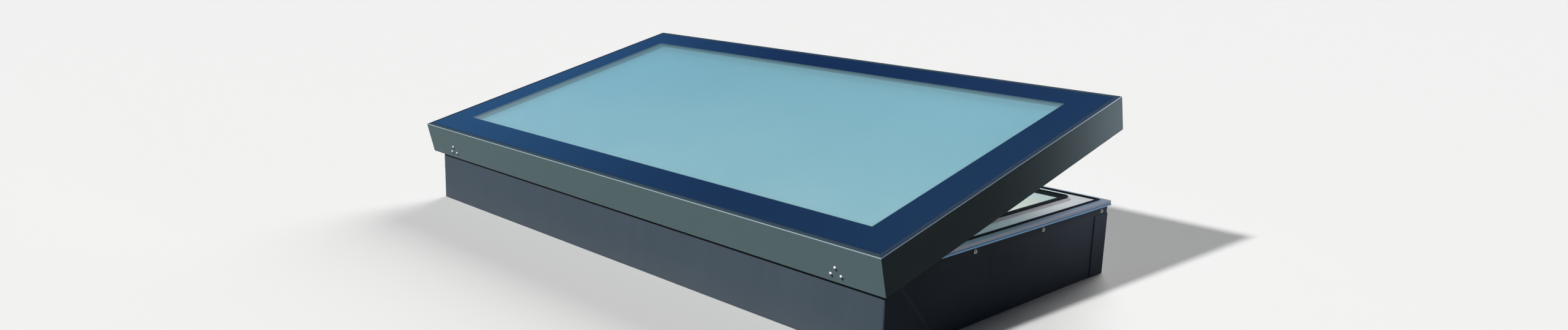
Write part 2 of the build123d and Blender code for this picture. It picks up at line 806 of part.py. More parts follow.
def beside_chain(depth):
    """The plane along the actuator at that depth, with its length and height as x and y."""
    origin = actuator_plane.from_local_coords((0, depth, 0))
    return Plane(origin=origin, x_dir=actuator_plane.x_dir, z_dir=-actuator_plane.y_dir)


# Actuator housing: an extruded case grooved along both faces, with a slot for the chain
housing_height = housing_above_pivot + housing_below_pivot
housing_middle = (housing_above_pivot - housing_below_pivot) / 2
case_half = housing_length / 2 - end_cap_thickness
chain_half_width = link_inner_gap / 2 + 2 * link_plate + link_pin_proud
link_back = link_height / 2 + link_back_clearance + link_plate
slot_length = link_back + link_height / 2 + 2 * chain_slot_clearance
slot_middle = (link_height / 2 - link_back) / 2
with BuildPart() as actuator_housing:
    with BuildSketch(across_actuator(0)):
        with Locations((0, housing_middle)):
            RectangleRounded(housing_width, housing_height, housing_corner_radius)
            with GridLocations(housing_width, case_groove_pitch, 2, 3):
                Rectangle(2 * case_groove_depth, case_groove_width, mode=Mode.SUBTRACT)
    extrude(amount=case_half, both=True)
    with BuildSketch(actuator_plane.offset(housing_above_pivot)):
        with Locations((slot_middle, 0)):
            Rectangle(slot_length, 2 * (chain_half_width + chain_slot_clearance))
    extrude(amount=-chain_slot_depth, mode=Mode.SUBTRACT)
actuator_housing.part.label = "actuator_housing"
export_step(actuator_housing.part, "parts/actuator_housing.step")

for hand, direction in (("left", -1), ("right", 1)):
    with BuildPart() as end_cap:
        with BuildSketch(across_actuator(direction * case_half)):
            with Locations((0, housing_middle)):
                RectangleRounded(housing_width, housing_height, housing_corner_radius)
        extrude(amount=direction * end_cap_thickness)
        end_face = end_cap.faces().sort_by(Axis.X)[0 if direction < 0 else -1]
        fillet(end_face.edges(), radius=end_cap_rounding)
        with BuildSketch(across_actuator(direction * housing_length / 2)):
            Circle(pivot_pin_radius + pivot_play)
        extrude(amount=-direction * (pivot_pin_depth + pivot_play), mode=Mode.SUBTRACT)
    end_cap.part.label = f"actuator_end_cap_{hand}"
    export_step(end_cap.part, f"parts/actuator_end_cap_{hand}.step")

# Brackets on the reveal: a plate and an ear that carries the pivot pin
reveal_y = middle_y + clear_depth / 2
for hand, direction in (("left", -1), ("right", 1)):
    ear_x = direction * (housing_length / 2 + ear_gap)
    with BuildPart() as bracket:
        with BuildSketch(across_hinge(Plane.XY, ear_x)):
            with Locations((pivot_point.Y, pivot_point.Z)):
                Circle(ear_radius)
                Rectangle(
                    reveal_y - pivot_point.Y, 2 * ear_radius, align=(Align.MIN, Align.CENTER)
                )
                Circle(pivot_pin_radius, mode=Mode.SUBTRACT)
        extrude(amount=direction * ear_thickness)
        with BuildSketch(across_hinge(Plane.XY, ear_x)):
            with Locations((reveal_y, pivot_point.Z)):
                Rectangle(bracket_plate, bracket_plate_height, align=(Align.MAX, Align.CENTER))
        extrude(amount=direction * (ear_thickness + bracket_plate_length))
        plate_corners = bracket.edges().filter_by(Axis.Y).group_by(Axis.X)[0 if direction < 0 else -1]
        fillet(plate_corners, radius=bracket_corner_radius)
        with Locations(*bracket_seats):
            Cylinder(hole_radius, 3 * bracket_plate, mode=Mode.SUBTRACT)
    bracket.part.label = f"actuator_bracket_{hand}"
    export_step(bracket.part, f"parts/actuator_bracket_{hand}.step")

bracket_screws = screws_at(
    bracket_seats, hinge_screw_head_radius, hinge_screw_head_height, bracket_screw_length
)
bracket_screws.label = "bracket_screws"
export_step(bracket_screws, "parts/bracket_screws.step")

with BuildPart() as actuator_pins:
    for direction in (-1, 1):
        ear_outer = direction * ear_outer_x
        pin_length = ear_thickness + ear_gap + pivot_pin_depth
        with BuildSketch(across_hinge(Plane.XY, ear_outer)):
            with Locations((pivot_point.Y, pivot_point.Z)):
                Circle(pivot_pin_radius)
        extrude(amount=-direction * pin_length)
        with BuildSketch(across_hinge(Plane.XY, ear_outer)):
            with Locations((pivot_point.Y, pivot_point.Z)):
                Circle(pivot_pin_head)
        extrude(amount=direction * pivot_pin_head_height)
actuator_pins.part.label = "actuator_pins"
export_step(actuator_pins.part, "parts/actuator_pins.step")

# Push chain: narrow and wide links by turns, each folded from sheet to a channel. The backs of the
# channels meet end to end, so the chain bends to one side only and is stiff when it pushes. The
# cross pins lie across the case, so that the chain can turn and lie along inside it.
chain_foot = housing_above_pivot - chain_slot_depth + chain_slot_clearance + link_height / 2
link_count = round((chain_reach - chain_foot) / chain_pitch_target)
link_pitch = (chain_reach - chain_foot) / link_count
last_pin = chain_reach - link_pitch
channel_length = link_pitch - link_end_gap
with BuildPart() as chain:
    for index in range(link_count - 1):
        link_middle = chain_foot + (index + 0.5) * link_pitch
        plate_inside = link_inner_gap / 2 + (index % 2) * link_plate
        for direction in (-1, 1):
            with BuildSketch(beside_chain(direction * plate_inside)):
                with Locations((0, link_middle)):
                    SlotCenterToCenter(link_pitch, link_height, rotation=90)
                    Rectangle(link_back, channel_length, align=(Align.MAX, Align.CENTER))
            extrude(amount=-direction * link_plate)
        with BuildSketch(beside_chain(0)):
            with Locations((-link_back, link_middle)):
                Rectangle(link_plate, channel_length, align=(Align.MIN, Align.CENTER))
        extrude(amount=plate_inside + link_plate, both=True)
    for index in range(link_count):
        with BuildSketch(beside_chain(0)):
            with Locations((0, chain_foot + index * link_pitch)):
                Circle(link_pin_radius)
        extrude(amount=chain_half_width, both=True)
    with BuildSketch(beside_chain(0)):
        with Locations((0, last_pin)):
            Circle(link_height / 2)
            Rectangle(link_inner_gap, link_pitch, align=(Align.CENTER, Align.MIN))
    extrude(amount=link_inner_gap / 2, both=True)
    with BuildSketch(across_actuator(0)):
        with Locations((0, chain_reach)):
            Circle(chain_eye_radius)
    extrude(amount=link_inner_gap / 2, both=True)
    with BuildSketch(across_actuator(0)):
        with Locations((0, chain_reach)):
            Circle(lid_pin_radius + lid_pin_play)
    extrude(amount=link_inner_gap, both=True, mode=Mode.SUBTRACT)
chain.part.label = "chain"
export_step(chain.part, "parts/chain.step")

# Lid bracket on the sash leg, with two ears either side of the chain's eye
ear_inner_x = link_inner_gap / 2 + lid_ear_gap
bracket_low = sash_inner_z - sash_leg_drop
with BuildPart() as lid_bracket:
    with BuildSketch(across_hinge(lid_plane, 0)):
        with Locations((leg_face_y, bracket_low)):
            Rectangle(lid_bracket_plate, lid_bracket_height, align=(Align.MAX, Align.MIN))
    extrude(amount=lid_bracket_width / 2, both=True)
    for direction in (-1, 1):
        with BuildSketch(across_hinge(lid_plane, direction * ear_inner_x)):
            with Locations((pivot_point.Y, lid_pin_height)):
                Circle(lid_ear_radius)
            with Locations((leg_face_y, lid_pin_height - bracket_ear_below)):
                Rectangle(
                    lid_pin_from_leg, bracket_ear_below + lid_ear_radius, align=(Align.MAX, Align.MIN)
                )
        extrude(amount=direction * lid_bracket_plate)
    with BuildSketch(across_hinge(lid_plane, 0)):
        with Locations((pivot_point.Y, lid_pin_height)):
            Circle(lid_pin_radius)
    extrude(amount=lid_bracket_width, both=True, mode=Mode.SUBTRACT)
    plate_ends = lid_bracket.edges().filter_by(lid_across).group_by(Axis.X)
    fillet(plate_ends[0] + plate_ends[-1], radius=bracket_corner_radius)
    with Locations(*lid_screw_seats):
        Cylinder(hole_radius, 3 * lid_bracket_plate, mode=Mode.SUBTRACT)
lid_bracket.part.label = "lid_bracket"
export_step(lid_bracket.part, "parts/lid_bracket.step")

with BuildPart() as lid_bracket_pin:
    with BuildSketch(across_hinge(lid_plane, 0)):
        with Locations((pivot_point.Y, lid_pin_height)):
            Circle(lid_pin_radius)
    extrude(amount=ear_inner_x + 2 * lid_bracket_plate, both=True)
lid_bracket_pin.part.label = "lid_bracket_pin"
export_step(lid_bracket_pin.part, "parts/lid_bracket_pin.step")

lid_bracket_screws = screws_at(
    lid_screw_seats, hinge_screw_head_radius, hinge_screw_head_height, lid_screw_length
)
lid_bracket_screws.label = "lid_bracket_screws"
export_step(lid_bracket_screws, "parts/lid_bracket_screws.step")

# Cable gland under the case: a hexagonal nut and a dome with a hole for the lead
gland_plane = Plane(
    origin=actuator_plane.from_local_coords(
        (gland_from_end - case_half, -gland_forward, -housing_below_pivot)
    ),
    x_dir=actuator_plane.x_dir,
    z_dir=-actuator_plane.z_dir,
)
with BuildPart() as cable_gland:
    with BuildSketch(gland_plane):
        RegularPolygon(gland_radius, 6)
    extrude(amount=gland_nut_height)
    with BuildSketch(gland_plane.offset(gland_nut_height)):
        Circle(gland_radius * cos(radians(30)))
    extrude(amount=gland_dome_height, taper=gland_taper)
    with BuildSketch(gland_plane):
        Circle(gland_bore)
    extrude(amount=gland_nut_height + gland_dome_height, mode=Mode.SUBTRACT)
cable_gland.part.label = "cable_gland"
export_step(cable_gland.part, "parts/cable_gland.step")
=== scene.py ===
import json
import math

import bmesh
import bpy
from mathutils import Matrix, Vector, noise


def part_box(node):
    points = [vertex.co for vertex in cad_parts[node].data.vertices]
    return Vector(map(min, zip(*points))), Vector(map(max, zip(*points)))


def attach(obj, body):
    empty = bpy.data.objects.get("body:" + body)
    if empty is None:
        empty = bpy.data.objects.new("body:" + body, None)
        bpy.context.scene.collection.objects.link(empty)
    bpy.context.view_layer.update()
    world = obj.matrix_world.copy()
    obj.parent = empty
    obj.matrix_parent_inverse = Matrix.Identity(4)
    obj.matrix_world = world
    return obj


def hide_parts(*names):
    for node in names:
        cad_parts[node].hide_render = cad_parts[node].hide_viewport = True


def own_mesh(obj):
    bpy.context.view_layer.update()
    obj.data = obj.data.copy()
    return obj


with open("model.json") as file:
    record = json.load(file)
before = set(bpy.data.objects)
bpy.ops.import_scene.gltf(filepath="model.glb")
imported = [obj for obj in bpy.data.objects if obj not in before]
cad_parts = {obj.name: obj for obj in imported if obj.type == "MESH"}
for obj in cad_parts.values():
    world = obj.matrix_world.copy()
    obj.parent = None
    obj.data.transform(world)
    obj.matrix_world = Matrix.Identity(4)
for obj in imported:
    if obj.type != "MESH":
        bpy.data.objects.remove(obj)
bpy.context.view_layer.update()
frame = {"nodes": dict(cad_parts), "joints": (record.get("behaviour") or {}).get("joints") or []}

nodes = frame["nodes"]


# Kerb walls: four planed softwood boards, mitred at the corners. Nearly all of each lies behind
# the roofing, but their undersides show when the skylight is lifted.
class Value:
    """A shader socket. Arithmetic on it adds Math nodes to the tree it belongs to."""

    def __init__(self, owner, socket):
        self.owner = owner
        self.socket = socket

    def __add__(self, other):
        return self.owner.sum_of("ADD", self, other)

    __radd__ = __add__

    def __sub__(self, other):
        return self.owner.sum_of("SUBTRACT", self, other)

    def __rsub__(self, other):
        return self.owner.sum_of("SUBTRACT", other, self)

    def __mul__(self, other):
        return self.owner.sum_of("MULTIPLY", self, other)

    __rmul__ = __mul__

    def __abs__(self):
        return self.owner.sum_of("ABSOLUTE", self)

    def above(self, edge, softness):
        """0 below the edge, 1 above it, and a smooth step of that softness between."""
        return self.owner.node(
            "ShaderNodeMapRange",
            {"interpolation_type": "SMOOTHSTEP"},
            {"Value": self, "From Min": edge - softness / 2, "From Max": edge + softness / 2},
        )


class Nodes:
    """A node tree, and the methods that add nodes to it."""

    def __init__(self, tree):
        self.tree = tree

    def node(self, kind, settings=None, inputs=None, output=0):
        """Adds a node: its type, its settings, and the values or links of its sockets."""
        node = self.tree.nodes.new(kind)
        for name, value in (settings or {}).items():
            setattr(node, name, value)
        for name, value in (inputs or {}).items():
            self.join(value, node.inputs[name])
        return Value(self, node.outputs[output])

    def join(self, value, socket):
        """Links a value to a socket, or sets the socket to a number or colour."""
        if isinstance(value, Value):
            self.tree.links.new(value.socket, socket)
        else:
            socket.default_value = value

    def sum_of(self, operation, *terms):
        """One Math node on its terms."""
        return self.node("ShaderNodeMath", {"operation": operation}, dict(enumerate(terms)))

    def mix(self, share, first, second):
        """The first colour where share is 0, the second where it is 1."""
        return self.node(
            "ShaderNodeMix", {"data_type": "RGBA"}, {0: share, 6: first, 7: second}, output=2
        )

    def axis(self, name, origin):
        """The X, Y or Z of a point."""
        return self.node("ShaderNodeSeparateXYZ", {}, {0: origin}, output=name)


class Finish(Nodes):
    """A material with one principled surface."""

    def __init__(self, name, **constant):
        self.material = bpy.data.materials.new(name)
        self.material.use_nodes = True
        super().__init__(self.material.node_tree)
        self.surface = self.tree.nodes["Principled BSDF"]
        self.place = self.node("ShaderNodeTexCoord", output="Object")
        for socket, value in constant.items():
            self.surface.inputs[socket.replace("_", " ")].default_value = value

    def grain(self, scale, detail=2.0, stretch=(1, 1, 1), roughness=0.5):
        """Noise from 0 to 1, its pattern drawn out along the axes with the smaller stretch."""
        where = self.node(
            "ShaderNodeVectorMath", {"operation": "MULTIPLY"}, {0: self.place, 1: stretch}
        )
        return self.node(
            "ShaderNodeTexNoise",
            {},
            {"Vector": where, "Scale": scale, "Detail": detail, "Roughness": roughness},
        )

    def wear(self, **varying):
        """Feeds sockets whose value changes over the surface."""
        for socket, value in varying.items():
            self.join(value, self.surface.inputs[socket.replace("_", " ")])

    def relief(self, height, depth):
        """Bump of that depth in metres."""
        bump = {"Strength": 1.0, "Distance": depth, "Height": height}
        self.wear(Normal=self.node("ShaderNodeBump", {}, bump))

    def coat(self, *names):
        """Puts the finish on CAD nodes."""
        for name in names:
            nodes[name].data.materials.clear()
            nodes[name].data.materials.append(self.material)


def colour(red, green, blue):
    """A colour as read off a screen, 0 to 255, made linear."""
    linear = [
        c / 12.92 if c <= 0.04045 else ((c + 0.055) / 1.055) ** 2.4
        for c in (red / 255, green / 255, blue / 255)
    ]
    return (*linear, 1.0)


SIDES = ("front", "right", "back", "left")
lengthwise = {"front": (1, 30, 30), "right": (30, 1, 30), "back": (1, 30, 30), "left": (30, 1, 30)}

for side in SIDES:
    softwood = Finish(f"softwood_{side}", Specular_IOR_Level=0.3)
    rings = softwood.grain(2.2, 4, lengthwise[side], 0.62)
    pores = softwood.grain(14, 3, lengthwise[side])
    softwood.wear(
        Base_Color=softwood.mix(
            rings.above(0.5, 0.35) * 0.7 + pores * 0.3, colour(196, 160, 112), colour(150, 108, 66)
        ),
        Roughness=0.62 + 0.2 * pores,
    )
    softwood.relief(pores, 0.0006)
    softwood.coat(f"kerb_wall_{side}")

# Insulation: rigid foam boards between the wall and the lining, pale and open-celled where cut.
foam = Finish("foam_board", Specular_IOR_Level=0.2)
cells = foam.grain(900, 1)
foam.wear(
    Base_Color=foam.mix(foam.grain(40, 3), colour(214, 196, 140), colour(232, 219, 172)),
    Roughness=0.82 + 0.15 * cells,
)
foam.relief(cells, 0.0008)
foam.coat(*(f"kerb_insulation_{side}" for side in SIDES))

# Reveal lining: moulded boards with a rolled coat of cream satin paint, nailed inside the
# insulation. Handling and condensation leave them slightly uneven in tone.
cream = Finish("cream_paint")
roller = cream.grain(420, 2)
tone = cream.grain(3, 3)
cream.wear(
    Base_Color=cream.mix(tone, colour(226, 225, 215), colour(236, 234, 226)),
    Roughness=0.36 + 0.16 * roller,
)
cream.relief(roller, 0.0003)
cream.coat(*(f"reveal_lining_{side}" for side in SIDES))

# Roofing membrane: one sheet of slate-grey synthetic roofing dressed up the kerb. It is folded,
# not cut, at the corners, and each fold lies flat on an end face as a raised triangle with a
# rolled edge. The sheet hangs a little slack between its fixings.
sheet_low, sheet_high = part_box("kerb_membrane")
timber = Vector((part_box("kerb_wall_front")[1].x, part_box("kerb_wall_back")[1].y))
kerb_middle = (sheet_low + sheet_high) / 2
corner_radius = 0.006
fold_reach = 0.2435
fold_slope = 0.9
fold_proud = 0.0045
fold_edge_width = 0.005
fold_roll = 0.0014
roll_from_edge = 0.009
roll_width = 0.008
crumple_depth = 0.0022
crumple_reach = 0.07
fold_top = 0.215
sag = 0.0009
row_height = 0.005


def ease(value, low, high):
    """0 at low, 1 at high, and a smooth step between."""
    share = min(max((value - low) / (high - low), 0.0), 1.0)
    return share * share * (3 - 2 * share)


def kerb_outline(half, radius, step=0.005, near=0.28):
    """Stations round the kerb, close together near its corners: a point and the way out there."""
    far_step = 0.03
    turns = 6
    right_angle = math.radians(90)
    across = half.x - radius
    along_y = half.y - radius
    centres = [
        Vector((kerb_middle.x + hand_x * across, kerb_middle.y + hand_y * along_y))
        for hand_x, hand_y in ((1, -1), (1, 1), (-1, 1), (-1, -1))
    ]
    for index, centre in enumerate(centres):
        start = right_angle * (index - 1)
        for turn in range(turns):
            angle = start + right_angle * turn / turns
            out = Vector((math.cos(angle), math.sin(angle)))
            yield centre + radius * out, out
        out = Vector((math.cos(start + right_angle), math.sin(start + right_angle)))
        run = centres[(index + 1) % len(centres)] - centre
        along = 0.0
        while along < run.length - step / 2:
            yield centre + radius * out + run.normalized() * along, out
            along += step if min(along, run.length - along) < near else far_step


def corner_fold(from_corner, height):
    """How far the folded sheet stands out of an end face."""
    inside = (fold_reach - fold_slope * height - from_corner) / math.hypot(1, fold_slope)
    flap = fold_proud * ease(inside, -0.001, fold_edge_width)
    roll = fold_roll * math.exp(-(((inside - roll_from_edge) / roll_width) ** 2))
    near_corner = math.exp(-((from_corner / crumple_reach) ** 2)) * ease(height, 0.05, 0.13)
    crumple = crumple_depth * noise.noise(Vector((inside * 55, height * 16, 3.1))) * near_corner
    under_screws = ease(height, fold_top - 0.03, fold_top)
    return (flap + roll + crumple) * (1 - under_screws)


def dressed_sheet(name, stations, heights, outside, inside, closed):
    """A sheet that stands round the kerb, with its worked face outwards."""
    shape = bmesh.new()
    columns = [
        [shape.verts.new(outside(point, out, height)) for height in heights]
        + [shape.verts.new(inside(point, out, height)) for height in (heights[-1], heights[0])]
        for point, out in stations
    ]
    pairs = list(zip(columns, columns[1:]))
    if closed:
        pairs.append((columns[-1], columns[0]))
    for one, two in pairs:
        for row in range(len(one)):
            above = (row + 1) % len(one)
            shape.faces.new((one[row], two[row], two[above], one[above]))
    if not closed:
        shape.faces.new(columns[0])
        shape.faces.new(columns[-1])
    return made_piece(name, shape)


def made_piece(name, shape):
    """An object of the mesh, smooth but for its edges that are sharper than the crease."""
    crease = math.radians(38)
    bmesh.ops.recalc_face_normals(shape, faces=shape.faces)
    for face in shape.faces:
        face.smooth = True
    for edge in shape.edges:
        edge.smooth = edge.is_manifold and edge.calc_face_angle() < crease
    mesh = bpy.data.meshes.new(name)
    shape.to_mesh(mesh)
    shape.free()
    piece = bpy.data.objects.new(name, mesh)
    bpy.context.scene.collection.objects.link(piece)
    return piece


def sheet_outside(point, out, height):
    """The sheet's face, with a fold at the front of each end and at the back of the left end."""
    wave = 0.5 + 0.5 * noise.noise(Vector((point.x * 3.1, point.y * 3.1, height * 6)))
    held = ease(height, sheet_high.z - 0.03, sheet_high.z - 0.005)
    slack = -sag * wave * (1 - held)
    stands = corner_fold(point.y - sheet_low.y, height)
    if point.x < 0:
        stands += corner_fold(sheet_high.y - point.y, height)
    on_end_face = min(abs(out.x) / 0.25, 1.0)
    stands *= on_end_face
    return (
        point.x + math.copysign(stands, point.x) + out.x * slack,
        point.y + out.y * slack,
        height,
    )


def timber_face(point, out, height):
    """The same station, brought in to the face of the kerb wall."""
    depth = timber.y - kerb_middle.y
    return (
        min(max(point.x, -timber.x), timber.x),
        min(max(point.y, kerb_middle.y - depth), kerb_middle.y + depth),
        height,
    )


sheet_rise = sheet_high.z - sheet_low.z
rows = round(sheet_rise / row_height)
sheet_heights = [sheet_low.z + sheet_rise * row / rows for row in range(rows + 1)]
sheet = dressed_sheet(
    "membrane_sheet",
    list(kerb_outline(sheet_high - kerb_middle, corner_radius)),
    sheet_heights,
    sheet_outside,
    timber_face,
    closed=True,
)

# Rain leaves dust on the sheet's foot and streaks down it. The top, under the edge profile, is
# painted darker: painted shade of the profile, with grime. On the front, a near-black band is
# painted
# under the skirt: the skirt's painted shadow.
dust_height = 0.05
skirt_shadow_height = 0.1728
edge_shade_height = 0.222
membrane = Finish("roofing_membrane", Specular_IOR_Level=0.12)
height = membrane.axis("Z", membrane.place)
cloud = membrane.grain(4, 4, roughness=0.55)
runs = membrane.grain(26, 3, (1, 1, 0.04), 0.6)
speckle = membrane.grain(300, 2)
foot_dust = (1 - height.above(dust_height, 0.11)) * (0.2 + 0.6 * cloud)
at_front = 1 - membrane.axis("Y", membrane.place).above(sheet_low.y + corner_radius, 0.004)
# Near-black band on the front under the skirt: painted shadow.
painted_skirt_shadow = height.above(skirt_shadow_height, 0.003) * at_front
# Darker top under the edge profile: painted shade, with grime.
edge_shade_and_grime = height.above(edge_shade_height, 0.04) * (0.5 + 0.3 * runs)
dark = membrane.sum_of("MAXIMUM", edge_shade_and_grime, painted_skirt_shadow)
clean = membrane.mix(cloud, colour(63, 74, 84), colour(70, 82, 93))
streaked = membrane.mix(runs.above(0.6, 0.3) * 0.05, clean, colour(98, 106, 112))
shaded_sheet = membrane.mix(dark, streaked, colour(14, 18, 22))
membrane.wear(
    Base_Color=membrane.mix(foot_dust * 0.3, shaded_sheet, colour(100, 102, 100)),
    Roughness=0.52 + 0.16 * cloud + 0.1 * speckle,
)
membrane.relief(speckle * 0.3 + cloud, 0.0009)
sheet.data.materials.append(membrane.material)
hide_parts("kerb_membrane")
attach(sheet, "kerb")

# Membrane lap: a piece of a second sheet, bonded over the first round the right corner of the
# opening side. Its two ends and its top are rolled down to a thin edge.
lap_low, lap_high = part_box("membrane_lap")
lap_thickness = lap_high.x - sheet_high.x
rolled_width = 0.004
rolled_off = 0.75
ripple_depth = 0.0004
lap_rows = 44


def in_lap(point, out):
    """Whether a station lies under the lap: on the end face, round the corner or on the back."""
    on_end = out.x > 0.99 and point.y > lap_low.y
    on_back = out.y > 0.99 and point.x > lap_low.x
    round_corner = min(out) > 0.01
    return on_end or on_back or round_corner


def lap_outside(point, out, height):
    """The lap's face. An end that is round the corner counts as metres away."""
    from_end = min(abs(point.y - lap_low.y) + 10 * out.y, abs(point.x - lap_low.x) + 10 * out.x)
    from_edge = min(from_end, lap_high.z - height)
    thinned = rolled_off * (1 - ease(from_edge, 0, rolled_width)) * lap_thickness
    ripple = ripple_depth * noise.noise(Vector((point.x * 9, point.y * 30, height * 14)))
    depth = thinned + ripple
    return (point.x - out.x * depth, point.y - out.y * depth, height)


def lap_inside(point, out, height):
    """The lap's back, laid on the sheet where that is slack."""
    depth = lap_thickness + sag
    return (point.x - out.x * depth, point.y - out.y * depth, height)


lap_half = sheet_high - kerb_middle + Vector((lap_thickness, lap_thickness, 0))
lap_radius = corner_radius + lap_thickness
lap_rise = lap_high.z - lap_low.z
lap = dressed_sheet(
    "membrane_lap_sheet",
    [
        (point, out)
        for point, out in kerb_outline(lap_half, lap_radius, step=0.002, near=0.12)
        if in_lap(point, out)
    ],
    [lap_low.z + lap_rise * (row / lap_rows) ** 0.7 for row in range(lap_rows + 1)],
    lap_outside,
    lap_inside,
    closed=False,
)
lap.data.materials.append(membrane.material)
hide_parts("membrane_lap")
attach(lap, "kerb")


# Fixed frame: white plastic profiles welded at the corners, satin, with a film of roof dust and a
# fine weld line on each mitre. The raised lip on top is a clipped-in length, a little greyer.
def frame_plastic(name, clean, dusty):
    """A dusty satin plastic, with the weld on each mitre of the frame."""
    weld_width = 0.0018
    finish = Finish(name)
    film = finish.grain(9, 5, roughness=0.7)
    grit = finish.grain(320, 1).above(0.68, 0.08)
    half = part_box("frame_front")[1].x
    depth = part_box("frame_right")[1].y - kerb_middle.y
    from_end = half - abs(finish.axis("X", finish.place))
    from_side = depth - abs(finish.axis("Y", finish.place) - kerb_middle.y)
    weld = 1 - abs(from_end - from_side).above(weld_width / 2, 0.0006)
    face = finish.mix(film * 0.6 + grit * 0.25, clean, dusty)
    finish.wear(
        Base_Color=finish.mix(weld * 0.35, face, colour(120, 122, 122)),
        Roughness=0.32 + 0.25 * film,
    )
    finish.relief(film - weld, 0.0003)
    return finish


frame_plastic("white_plastic", colour(238, 241, 241), colour(212, 215, 212)).coat(
    *(f"frame_{side}" for side in SIDES)
)
frame_plastic("grey_plastic", colour(196, 199, 202), colour(172, 174, 175)).coat("inner_lip")

# Edge profile: extruded aluminium clipped over the frame's edge and mitred, left in its mill
# finish, so die lines run along every length of it. Its ledge is painted paler, a painted
# highlight, and its drip lip is painted blue, a painted reflection of the sky.
lip_height = 0.0068
ledge_skin = 0.0006
for side in SIDES:
    mill = Finish(f"mill_aluminium_{side}", Metallic=0.55)
    lines = mill.grain(24, 2, lengthwise[side])
    bloom = mill.grain(12, 4)
    edge_low, edge_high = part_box(f"edge_profile_{side}")
    drop = mill.axis("Z", mill.place)
    # The drip lip's blue is a painted reflection of the sky.
    lip_reflection = 1 - drop.above(edge_low.z + lip_height, 0.0006)
    # The ledge's paler tone is a painted highlight.
    ledge_highlight = drop.above(edge_high.z - ledge_skin, 0.0008)
    face = mill.mix(lines * 0.5 + bloom * 0.5, colour(124, 132, 150), colour(142, 148, 164))
    face = mill.mix(lip_reflection * 0.8, face, colour(96, 156, 196))
    mill.wear(
        Base_Color=mill.mix(ledge_highlight * 0.85, face, colour(192, 198, 204)),
        Roughness=0.3 + 0.16 * bloom + 0.08 * lines,
    )
    mill.relief(lines, 0.0002)
    mill.coat(f"edge_profile_{side}")

# Gaskets: extruded black rubber, dull, with a trace of grey bloom on top.
rubber = Finish("gasket_rubber", Specular_IOR_Level=0.3)
bloom = rubber.grain(30, 4, roughness=0.65)
rubber.wear(
    Base_Color=rubber.mix(bloom, colour(16, 17, 19), colour(32, 34, 37)),
    Roughness=0.5 + 0.3 * bloom,
)
rubber.relief(rubber.grain(500, 2), 0.0002)
rubber.coat("outer_gasket", "inner_gasket")

# Kerb screws: zinc-plated pan heads with a six-lobed drive, each on a dished washer, turned into
# the timber under the edge profile. The other screws of the skylight have the same drive.
zinc = Finish("zinc_plate", Metallic=0.8)
patch = zinc.grain(160, 3)
zinc.wear(
    Base_Color=zinc.mix(patch, colour(172, 170, 160), colour(204, 204, 198)),
    Roughness=0.3 + 0.25 * patch,
)


def islands(name):
    """The corner points of each loose solid of a CAD node."""
    shape = bmesh.new()
    shape.from_mesh(nodes[name].data)
    bmesh.ops.remove_doubles(shape, verts=shape.verts, dist=0.00001)
    met = set()
    for first in shape.verts:
        if first in met:
            continue
        met.add(first)
        group = [first]
        for vertex in group:
            for edge in vertex.link_edges:
                other = edge.other_vert(vertex)
                if other not in met:
                    met.add(other)
                    group.append(other)
        yield [vertex.co.copy() for vertex in group]
    shape.free()


def spans(points, axis):
    """The lowest and the highest reach of points along an axis."""
    reaches = [point.dot(axis) for point in points]
    return min(reaches), max(reaches)


def fastener_seats(name, proud, out=None):
    """The seat of each fastener of a CAD node, whose head stands proud of it, and the way out."""
    for points in islands(name):
        way = out
        if way is None:
            centre = sum(points, Vector()) / len(points) - kerb_middle
            reach = {axis: spans(points, Vector(axis)) for axis in ((1, 0, 0), (0, 1, 0))}
            axis = max(reach, key=lambda key: reach[key][1] - reach[key][0])
            way = Vector(axis) * math.copysign(1, centre.dot(Vector(axis)))
        side = way.cross(Vector((0, 0, 1))).normalized()
        up = side.cross(way)
        middle = side * sum(spans(points, side)) / 2 + up * sum(spans(points, up)) / 2
        yield middle + way * (spans(points, way)[1] - proud), way


def turned(shape, profile, seat, out):
    """Adds a turned form: rows of radius, height above the seat and depth of the drive's lobes."""
    lobes = 6
    steps = 36
    side = out.orthogonal().normalized()
    up = out.cross(side)
    rings = []
    for radius, height, lobed in profile:
        if radius == 0:
            rings.append([shape.verts.new(seat + out * height)] * steps)
            continue
        ring = []
        for step in range(steps):
            angle = math.tau * step / steps
            reach = radius * (1 + lobed * math.cos(lobes * angle))
            away = (side * math.cos(angle) + up * math.sin(angle)) * reach
            ring.append(shape.verts.new(seat + out * height + away))
        rings.append(ring)
    for lower, upper in zip(rings, rings[1:]):
        for step in range(steps):
            corners = [lower[step - 1], lower[step], upper[step], upper[step - 1]]
            corners = list(dict.fromkeys(corners))
            if len(corners) > 2:
                shape.faces.new(corners)


def drive(height, depth):
    """The six-lobed recess in the top of a screw's head."""
    mouth = 0.00242
    waist = 0.00220
    bottom = 0.002024
    return [
        (mouth, height, 0.12), (waist, height - depth * 0.25, 0.16),
        (bottom, height - depth, 0.16), (0, height - depth, 0),
    ]


def screws(name, body, proud, profile, out=None):
    """Detailed screws in place of the plain ones of a CAD node."""
    shape = bmesh.new()
    for seat, way in fastener_seats(name, proud, out):
        turned(shape, profile, seat, way)
    piece = made_piece(f"{name}_detailed", shape)
    piece.data.materials.append(zinc.material)
    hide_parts(name)
    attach(piece, body)


shank_radius = 0.0024
point_length = 0.002
washer_radius = 0.0070
kerb_screw_length = 0.026
kerb_screw_head = 0.0051
screws(
    "kerb_screws",
    "kerb",
    kerb_screw_head,
    [
        (0, -kerb_screw_length, 0), (shank_radius, -kerb_screw_length + point_length, 0),
        (shank_radius, 0, 0), (washer_radius, 0, 0), (washer_radius, 0.0007, 0),
        (0.0066, 0.0012, 0), (0.0050, 0.0015, 0), (0.0046, 0.0016, 0), (0.0046, 0.0036, 0),
        (0.0042, 0.0045, 0), (0.0033, 0.0050, 0),
        *drive(kerb_screw_head, 0.0022),
    ],
)
